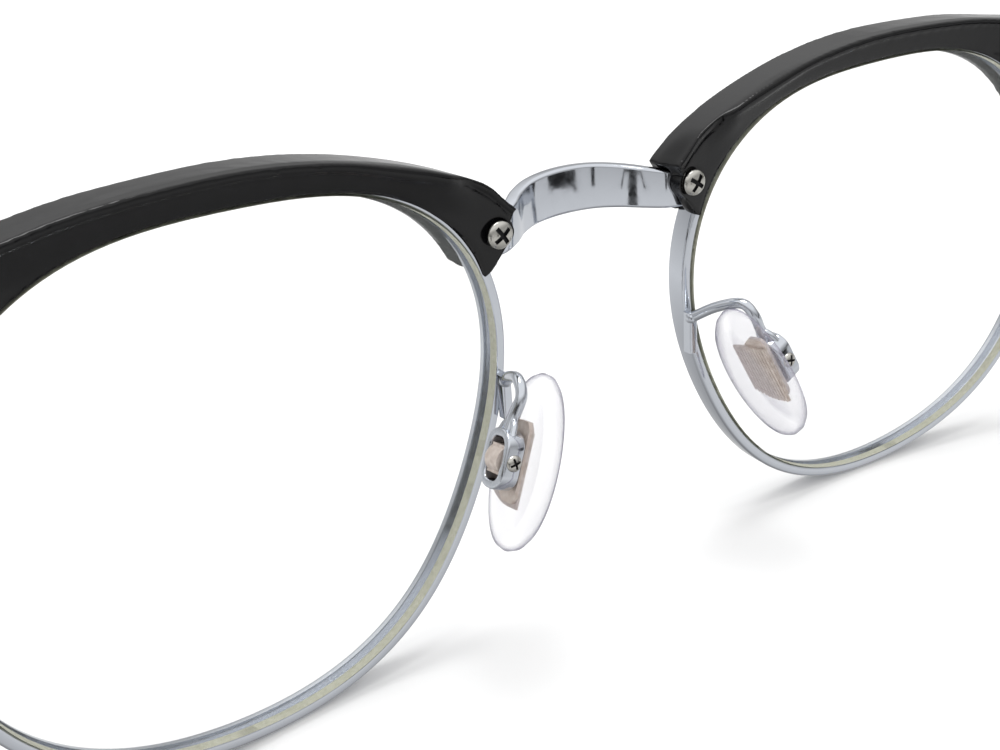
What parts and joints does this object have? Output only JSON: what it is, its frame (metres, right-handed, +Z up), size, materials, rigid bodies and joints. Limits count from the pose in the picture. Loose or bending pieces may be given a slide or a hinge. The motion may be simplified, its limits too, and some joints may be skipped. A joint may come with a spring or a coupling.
{
  "type": "half rim browline eyeglasses",
  "caption": "Browline eyeglasses: acetate brow bars over metal rims, a metal bridge, clear lenses, adjustable nose pads and folding temples.",
  "frame": {"origin": "centre of the bounding box, on the plane the rims and temple tips stand on", "axes": "+Z up, +Y from the lenses back along the temples, +X towards the wearer's left; the front faces -Y"},
  "size_m": [0.1394, 0.1426, 0.047],
  "materials": {
    "black_acetate": "polished black cellulose acetate",
    "chrome_plate": "bright plated",
    "steel_screw": "turned steel",
    "nickel_silver": "satin",
    "clear_lens": "clear demo lens",
    "clear_pad": "clear soft pad",
    "pad_insert_metal": "ribbed beige metal"
  },
  "bodies": {
    "front": {"bridge": "chrome_plate", "left_brow": "black_acetate", "left_rim": "chrome_plate", "left_lens": "clear_lens", "left_rim_lock_blocks": "chrome_plate", "left_rim_lock_screw": "steel_screw", "left_pad_arm": "chrome_plate", "left_pad_box": "chrome_plate", "left_pad_screw": "steel_screw", "left_nasal_brow_screw": "steel_screw", "left_temporal_brow_screw": "steel_screw", "left_hinge_front_leaf": "nickel_silver", "left_hinge_screw": "steel_screw", "left_brow_rivets": "nickel_silver", "right_brow": "black_acetate", "right_rim": "chrome_plate", "right_lens": "clear_lens", "right_rim_lock_blocks": "chrome_plate", "right_rim_lock_screw": "steel_screw", "right_pad_arm": "chrome_plate", "right_pad_box": "chrome_plate", "right_pad_screw": "steel_screw", "right_nasal_brow_screw": "steel_screw", "right_temporal_brow_screw": "steel_screw", "right_hinge_front_leaf": "nickel_silver", "right_hinge_screw": "steel_screw", "right_brow_rivets": "nickel_silver"},
    "left_temple_assembly": {"left_temple": "black_acetate", "left_temple_core": "nickel_silver", "left_temple_rivets": "nickel_silver", "left_hinge_temple_leaf": "nickel_silver"},
    "left_pad_assembly": {"left_nose_pad": "clear_pad", "left_pad_insert": "pad_insert_metal"},
    "right_temple_assembly": {"right_temple": "black_acetate", "right_temple_core": "nickel_silver", "right_temple_rivets": "nickel_silver", "right_hinge_temple_leaf": "nickel_silver"},
    "right_pad_assembly": {"right_nose_pad": "clear_pad", "right_pad_insert": "pad_insert_metal"}
  },
  "joints": [
    {"name": "left_temple_fold", "type": "hinge", "parent": "front", "child": "left_temple_assembly", "pos_m": [0.0638, -0.05666, 0.03717], "axis": [0, 0.071, 0.9975], "range_deg": [0, 90]},
    {"name": "right_temple_fold", "type": "hinge", "parent": "front", "child": "right_temple_assembly", "pos_m": [-0.0638, -0.05666, 0.03717], "axis": [0, -0.071, -0.9975], "range_deg": [0, 82]},
    {"name": "left_pad_rock", "type": "hinge", "parent": "front", "child": "left_pad_assembly", "pos_m": [0.01533, -0.05784, 0.02065], "axis": [0.0306, 0.9757, 0.2171], "range_deg": [-5, 5]},
    {"name": "right_pad_rock", "type": "hinge", "parent": "front", "child": "right_pad_assembly", "pos_m": [-0.01533, -0.05784, 0.02065], "axis": [0.0306, -0.9757, -0.2171], "range_deg": [-5, 5]}
  ]
}
